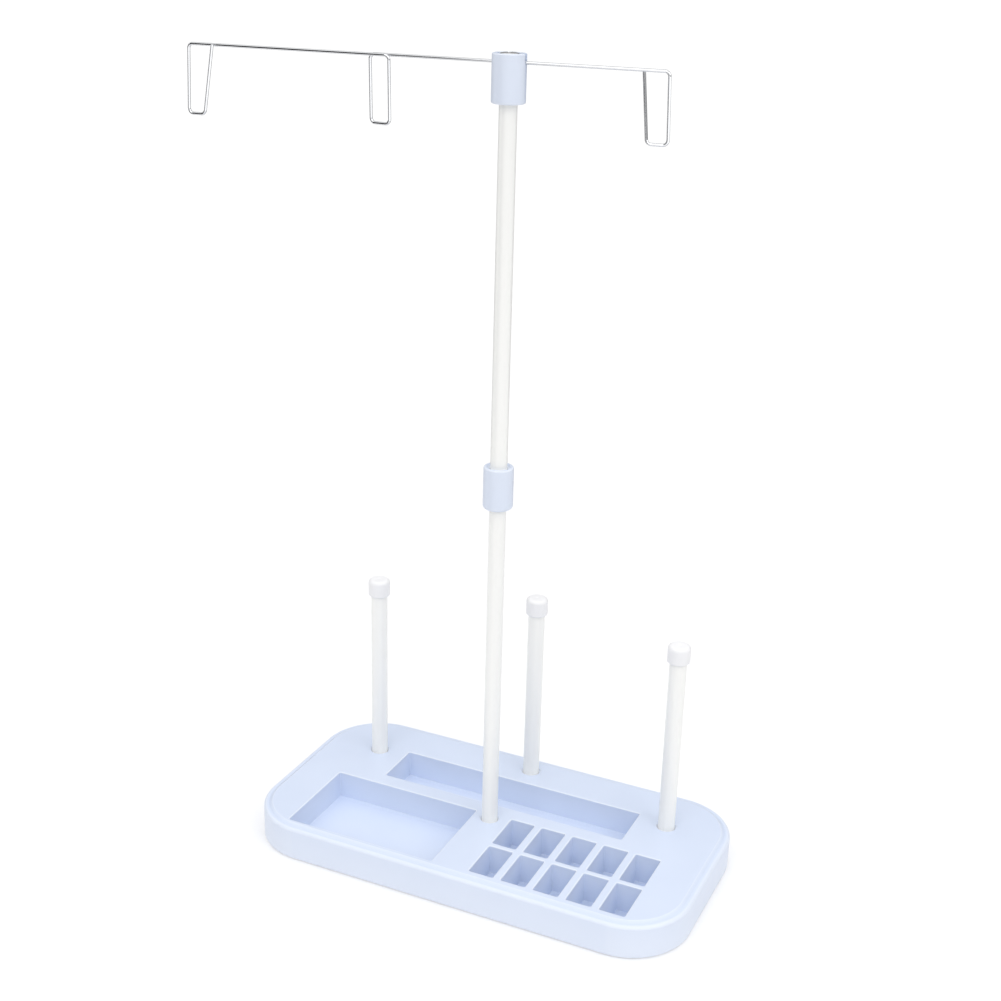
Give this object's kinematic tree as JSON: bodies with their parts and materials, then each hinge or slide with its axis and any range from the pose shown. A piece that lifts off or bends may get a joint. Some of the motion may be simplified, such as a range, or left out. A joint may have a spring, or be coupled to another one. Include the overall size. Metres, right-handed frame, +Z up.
{
  "type": "sewing thread spool stand",
  "caption": "Free-standing sewing thread stand: a moulded tray base with bobbin slots, capped spool pins and a tall two-part mast carrying a bent wire thread guide.",
  "frame": {"origin": "on the desk, on the mast axis, at the bottom face of the anti-slip pad under the mast socket", "axes": "+Z up along the mast, +X along the base towards the bobbin slots, -Y towards the front edge of the base"},
  "size_m": [0.2693, 0.119, 0.3938],
  "materials": {
    "pale_blue_plastic": "semi-gloss injection-moulded ABS",
    "white_tube_plastic": "smooth glossy extruded tube",
    "white_cap_plastic": "satin moulded cap",
    "stainless_wire": "bright drawn stainless wire",
    "plated_steel": "bright nickel plate",
    "silicone_pad": "matte silicone"
  },
  "bodies": {
    "base": {"base_tray": "pale_blue_plastic", "foot_pad_under_mast": "silicone_pad", "foot_pad_front_left": "silicone_pad", "foot_pad_front_right": "silicone_pad", "foot_pad_back_left": "silicone_pad", "foot_pad_back_right": "silicone_pad"},
    "left_pin": {"spool_pin_left": "white_tube_plastic", "pin_cap_left": "white_cap_plastic"},
    "middle_pin": {"spool_pin_middle": "white_tube_plastic", "pin_cap_middle": "white_cap_plastic"},
    "right_pin": {"spool_pin_right": "white_tube_plastic", "pin_cap_right": "white_cap_plastic"},
    "lower_mast": {"lower_mast_tube": "white_tube_plastic", "mast_coupling": "pale_blue_plastic"},
    "upper_mast": {"upper_mast_tube": "white_tube_plastic"},
    "guide": {"guide_hub": "pale_blue_plastic", "thread_guide_wire": "stainless_wire", "guide_washer": "plated_steel", "guide_screw": "plated_steel"}
  },
  "joints": [
    {"name": "left_pin_lift", "type": "slide", "parent": "base", "child": "left_pin", "axis": [0, 0, 1], "range_m": [0, 0.014]},
    {"name": "middle_pin_lift", "type": "slide", "parent": "base", "child": "middle_pin", "axis": [0, 0, 1], "range_m": [0, 0.014]},
    {"name": "right_pin_lift", "type": "slide", "parent": "base", "child": "right_pin", "axis": [0, 0, 1], "range_m": [0, 0.014]},
    {"name": "mast_lift", "type": "slide", "parent": "base", "child": "lower_mast", "axis": [0, 0, 1], "range_m": [0, 0.014]},
    {"name": "upper_mast_lift", "type": "slide", "parent": "lower_mast", "child": "upper_mast", "axis": [0, 0, 1], "range_m": [0, 0.0097]},
    {"name": "guide_turn", "type": "hinge", "parent": "upper_mast", "child": "guide", "pos_m": [0, 0, 0.383], "axis": [0, 0, 1], "continuous": true}
  ]
}
